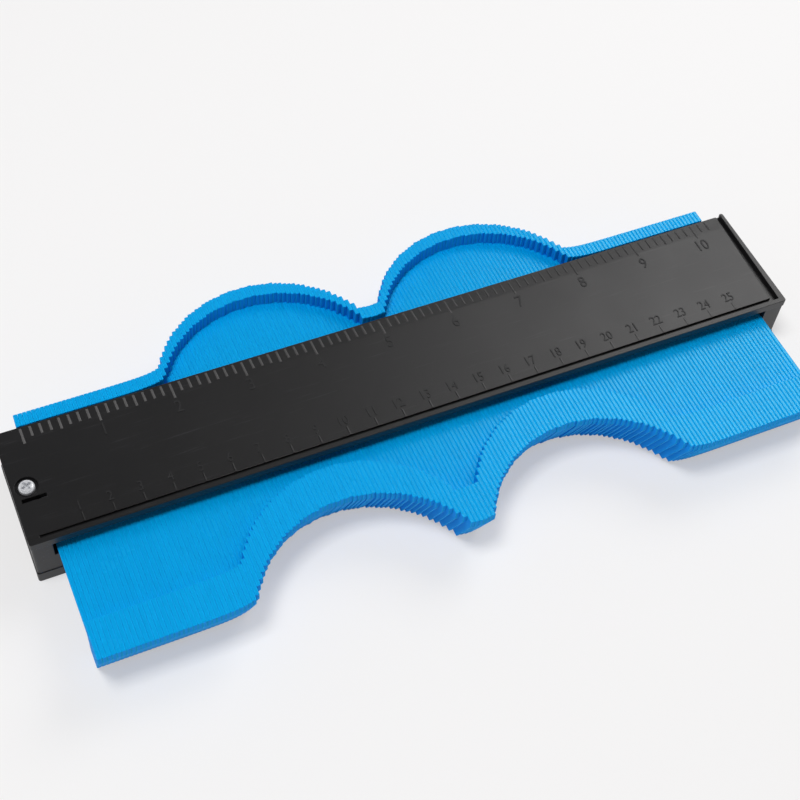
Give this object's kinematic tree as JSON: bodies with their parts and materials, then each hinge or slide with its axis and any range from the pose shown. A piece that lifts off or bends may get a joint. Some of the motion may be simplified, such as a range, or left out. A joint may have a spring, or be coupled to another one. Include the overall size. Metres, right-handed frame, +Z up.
{
  "type": "contour gauge",
  "caption": "Contour gauge: a row of thin blue pins slides through a flat black casing and holds a pressed outline, under a cover with ruler edges.",
  "frame": {"origin": "middle of the casing's flat underside", "axes": "+X along the ruler to the higher numbers, +Y from the front lip to the back ruler edge and along the pins, +Z up from the table"},
  "size_m": [0.2776, 0.1193, 0.0226],
  "materials": {
    "casing_black": "satin moulded black plastic",
    "pin_blue": "smooth moulded blue plastic",
    "screw_steel": "bright zinc plated steel",
    "strip_rubber": "soft dense rubber"
  },
  "bodies": {
    "casing": {"bottom_plate": "casing_black", "base_screws": "screw_steel", "pin_channel": "casing_black", "lower_friction_strip": "strip_rubber", "upper_friction_strip": "strip_rubber", "ruler_cover": "casing_black", "cover_screw": "screw_steel"},
    "pin_group_01": {"pin_group_01": "pin_blue"},
    "pin_group_02": {"pin_group_02": "pin_blue"},
    "pin_group_03": {"pin_group_03": "pin_blue"},
    "pin_group_04": {"pin_group_04": "pin_blue"},
    "pin_group_05": {"pin_group_05": "pin_blue"},
    "pin_group_06": {"pin_group_06": "pin_blue"},
    "pin_group_07": {"pin_group_07": "pin_blue"},
    "pin_group_08": {"pin_group_08": "pin_blue"},
    "pin_group_09": {"pin_group_09": "pin_blue"},
    "pin_group_10": {"pin_group_10": "pin_blue"},
    "pin_group_11": {"pin_group_11": "pin_blue"},
    "pin_group_12": {"pin_group_12": "pin_blue"},
    "pin_group_13": {"pin_group_13": "pin_blue"},
    "pin_group_14": {"pin_group_14": "pin_blue"},
    "pin_group_15": {"pin_group_15": "pin_blue"},
    "pin_group_16": {"pin_group_16": "pin_blue"},
    "pin_group_17": {"pin_group_17": "pin_blue"},
    "pin_group_18": {"pin_group_18": "pin_blue"},
    "pin_group_19": {"pin_group_19": "pin_blue"},
    "pin_group_20": {"pin_group_20": "pin_blue"},
    "pin_group_21": {"pin_group_21": "pin_blue"},
    "pin_group_22": {"pin_group_22": "pin_blue"},
    "pin_group_23": {"pin_group_23": "pin_blue"},
    "pin_group_24": {"pin_group_24": "pin_blue"},
    "pin_group_25": {"pin_group_25": "pin_blue"},
    "pin_group_26": {"pin_group_26": "pin_blue"},
    "pin_group_27": {"pin_group_27": "pin_blue"},
    "pin_group_28": {"pin_group_28": "pin_blue"},
    "pin_group_29": {"pin_group_29": "pin_blue"},
    "pin_group_30": {"pin_group_30": "pin_blue"},
    "pin_group_31": {"pin_group_31": "pin_blue"},
    "pin_group_32": {"pin_group_32": "pin_blue"},
    "pin_group_33": {"pin_group_33": "pin_blue"},
    "pin_group_34": {"pin_group_34": "pin_blue"},
    "pin_group_35": {"pin_group_35": "pin_blue"},
    "pin_group_36": {"pin_group_36": "pin_blue"},
    "pin_group_37": {"pin_group_37": "pin_blue"},
    "pin_group_38": {"pin_group_38": "pin_blue"},
    "pin_group_39": {"pin_group_39": "pin_blue"},
    "pin_group_40": {"pin_group_40": "pin_blue"},
    "pin_group_41": {"pin_group_41": "pin_blue"},
    "pin_group_42": {"pin_group_42": "pin_blue"},
    "pin_group_43": {"pin_group_43": "pin_blue"},
    "pin_group_44": {"pin_group_44": "pin_blue"}
  },
  "joints": [
    {"name": "pin_slide_01", "type": "slide", "parent": "casing", "child": "pin_group_01", "axis": [0, 1, 0], "range_m": [-0.0005, 0.02989]},
    {"name": "pin_slide_02", "type": "slide", "parent": "casing", "child": "pin_group_02", "axis": [0, 1, 0], "range_m": [-0.0005, 0.02989]},
    {"name": "pin_slide_03", "type": "slide", "parent": "casing", "child": "pin_group_03", "axis": [0, 1, 0], "range_m": [-0.0005, 0.02989]},
    {"name": "pin_slide_04", "type": "slide", "parent": "casing", "child": "pin_group_04", "axis": [0, 1, 0], "range_m": [-0.0005, 0.02989]},
    {"name": "pin_slide_05", "type": "slide", "parent": "casing", "child": "pin_group_05", "axis": [0, 1, 0], "range_m": [-0.0005, 0.02989]},
    {"name": "pin_slide_06", "type": "slide", "parent": "casing", "child": "pin_group_06", "axis": [0, 1, 0], "range_m": [-0.00051, 0.02986]},
    {"name": "pin_slide_07", "type": "slide", "parent": "casing", "child": "pin_group_07", "axis": [0, 1, 0], "range_m": [-0.00055, 0.02974]},
    {"name": "pin_slide_08", "type": "slide", "parent": "casing", "child": "pin_group_08", "axis": [0, 1, 0], "range_m": [-0.00072, 0.02921]},
    {"name": "pin_slide_09", "type": "slide", "parent": "casing", "child": "pin_group_09", "axis": [0, 1, 0], "range_m": [-0.00149, 0.02423]},
    {"name": "pin_slide_10", "type": "slide", "parent": "casing", "child": "pin_group_10", "axis": [0, 1, 0], "range_m": [-0.00806, 0.01679]},
    {"name": "pin_slide_11", "type": "slide", "parent": "casing", "child": "pin_group_11", "axis": [0, 1, 0], "range_m": [-0.01515, 0.01206]},
    {"name": "pin_slide_12", "type": "slide", "parent": "casing", "child": "pin_group_12", "axis": [0, 1, 0], "range_m": [-0.01951, 0.00861]},
    {"name": "pin_slide_13", "type": "slide", "parent": "casing", "child": "pin_group_13", "axis": [0, 1, 0], "range_m": [-0.0222, 0.00643]},
    {"name": "pin_slide_14", "type": "slide", "parent": "casing", "child": "pin_group_14", "axis": [0, 1, 0], "range_m": [-0.02432, 0.00528]},
    {"name": "pin_slide_15", "type": "slide", "parent": "casing", "child": "pin_group_15", "axis": [0, 1, 0], "range_m": [-0.0252, 0.00497]},
    {"name": "pin_slide_16", "type": "slide", "parent": "casing", "child": "pin_group_16", "axis": [0, 1, 0], "range_m": [-0.0247, 0.00496]},
    {"name": "pin_slide_17", "type": "slide", "parent": "casing", "child": "pin_group_17", "axis": [0, 1, 0], "range_m": [-0.02324, 0.00596]},
    {"name": "pin_slide_18", "type": "slide", "parent": "casing", "child": "pin_group_18", "axis": [0, 1, 0], "range_m": [-0.02088, 0.00762]},
    {"name": "pin_slide_19", "type": "slide", "parent": "casing", "child": "pin_group_19", "axis": [0, 1, 0], "range_m": [-0.01683, 0.0105]},
    {"name": "pin_slide_20", "type": "slide", "parent": "casing", "child": "pin_group_20", "axis": [0, 1, 0], "range_m": [-0.01103, 0.01467]},
    {"name": "pin_slide_21", "type": "slide", "parent": "casing", "child": "pin_group_21", "axis": [0, 1, 0], "range_m": [-0.00226, 0.02103]},
    {"name": "pin_slide_22", "type": "slide", "parent": "casing", "child": "pin_group_22", "axis": [0, 1, 0], "range_m": [-0.00189, 0.02829]},
    {"name": "pin_slide_23", "type": "slide", "parent": "casing", "child": "pin_group_23", "axis": [0, 1, 0], "range_m": [-0.00227, 0.02143]},
    {"name": "pin_slide_24", "type": "slide", "parent": "casing", "child": "pin_group_24", "axis": [0, 1, 0], "range_m": [-0.01117, 0.01486]},
    {"name": "pin_slide_25", "type": "slide", "parent": "casing", "child": "pin_group_25", "axis": [0, 1, 0], "range_m": [-0.01658, 0.01035]},
    {"name": "pin_slide_26", "type": "slide", "parent": "casing", "child": "pin_group_26", "axis": [0, 1, 0], "range_m": [-0.0206, 0.00779]},
    {"name": "pin_slide_27", "type": "slide", "parent": "casing", "child": "pin_group_27", "axis": [0, 1, 0], "range_m": [-0.02346, 0.00608]},
    {"name": "pin_slide_28", "type": "slide", "parent": "casing", "child": "pin_group_28", "axis": [0, 1, 0], "range_m": [-0.02468, 0.00497]},
    {"name": "pin_slide_29", "type": "slide", "parent": "casing", "child": "pin_group_29", "axis": [0, 1, 0], "range_m": [-0.02517, 0.00497]},
    {"name": "pin_slide_30", "type": "slide", "parent": "casing", "child": "pin_group_30", "axis": [0, 1, 0], "range_m": [-0.02427, 0.0051]},
    {"name": "pin_slide_31", "type": "slide", "parent": "casing", "child": "pin_group_31", "axis": [0, 1, 0], "range_m": [-0.02247, 0.00632]},
    {"name": "pin_slide_32", "type": "slide", "parent": "casing", "child": "pin_group_32", "axis": [0, 1, 0], "range_m": [-0.01948, 0.00874]},
    {"name": "pin_slide_33", "type": "slide", "parent": "casing", "child": "pin_group_33", "axis": [0, 1, 0], "range_m": [-0.01511, 0.01185]},
    {"name": "pin_slide_34", "type": "slide", "parent": "casing", "child": "pin_group_34", "axis": [0, 1, 0], "range_m": [-0.00853, 0.01658]},
    {"name": "pin_slide_35", "type": "slide", "parent": "casing", "child": "pin_group_35", "axis": [0, 1, 0], "range_m": [-0.00153, 0.02419]},
    {"name": "pin_slide_36", "type": "slide", "parent": "casing", "child": "pin_group_36", "axis": [0, 1, 0], "range_m": [-0.00073, 0.02918]},
    {"name": "pin_slide_37", "type": "slide", "parent": "casing", "child": "pin_group_37", "axis": [0, 1, 0], "range_m": [-0.00055, 0.02973]},
    {"name": "pin_slide_38", "type": "slide", "parent": "casing", "child": "pin_group_38", "axis": [0, 1, 0], "range_m": [-0.00051, 0.02986]},
    {"name": "pin_slide_39", "type": "slide", "parent": "casing", "child": "pin_group_39", "axis": [0, 1, 0], "range_m": [-0.0005, 0.02989]},
    {"name": "pin_slide_40", "type": "slide", "parent": "casing", "child": "pin_group_40", "axis": [0, 1, 0], "range_m": [-0.0005, 0.02989]},
    {"name": "pin_slide_41", "type": "slide", "parent": "casing", "child": "pin_group_41", "axis": [0, 1, 0], "range_m": [-0.0005, 0.02989]},
    {"name": "pin_slide_42", "type": "slide", "parent": "casing", "child": "pin_group_42", "axis": [0, 1, 0], "range_m": [-0.0005, 0.02989]},
    {"name": "pin_slide_43", "type": "slide", "parent": "casing", "child": "pin_group_43", "axis": [0, 1, 0], "range_m": [-0.0005, 0.02989]},
    {"name": "pin_slide_44", "type": "slide", "parent": "casing", "child": "pin_group_44", "axis": [0, 1, 0], "range_m": [-0.0005, 0.02989]}
  ]
}
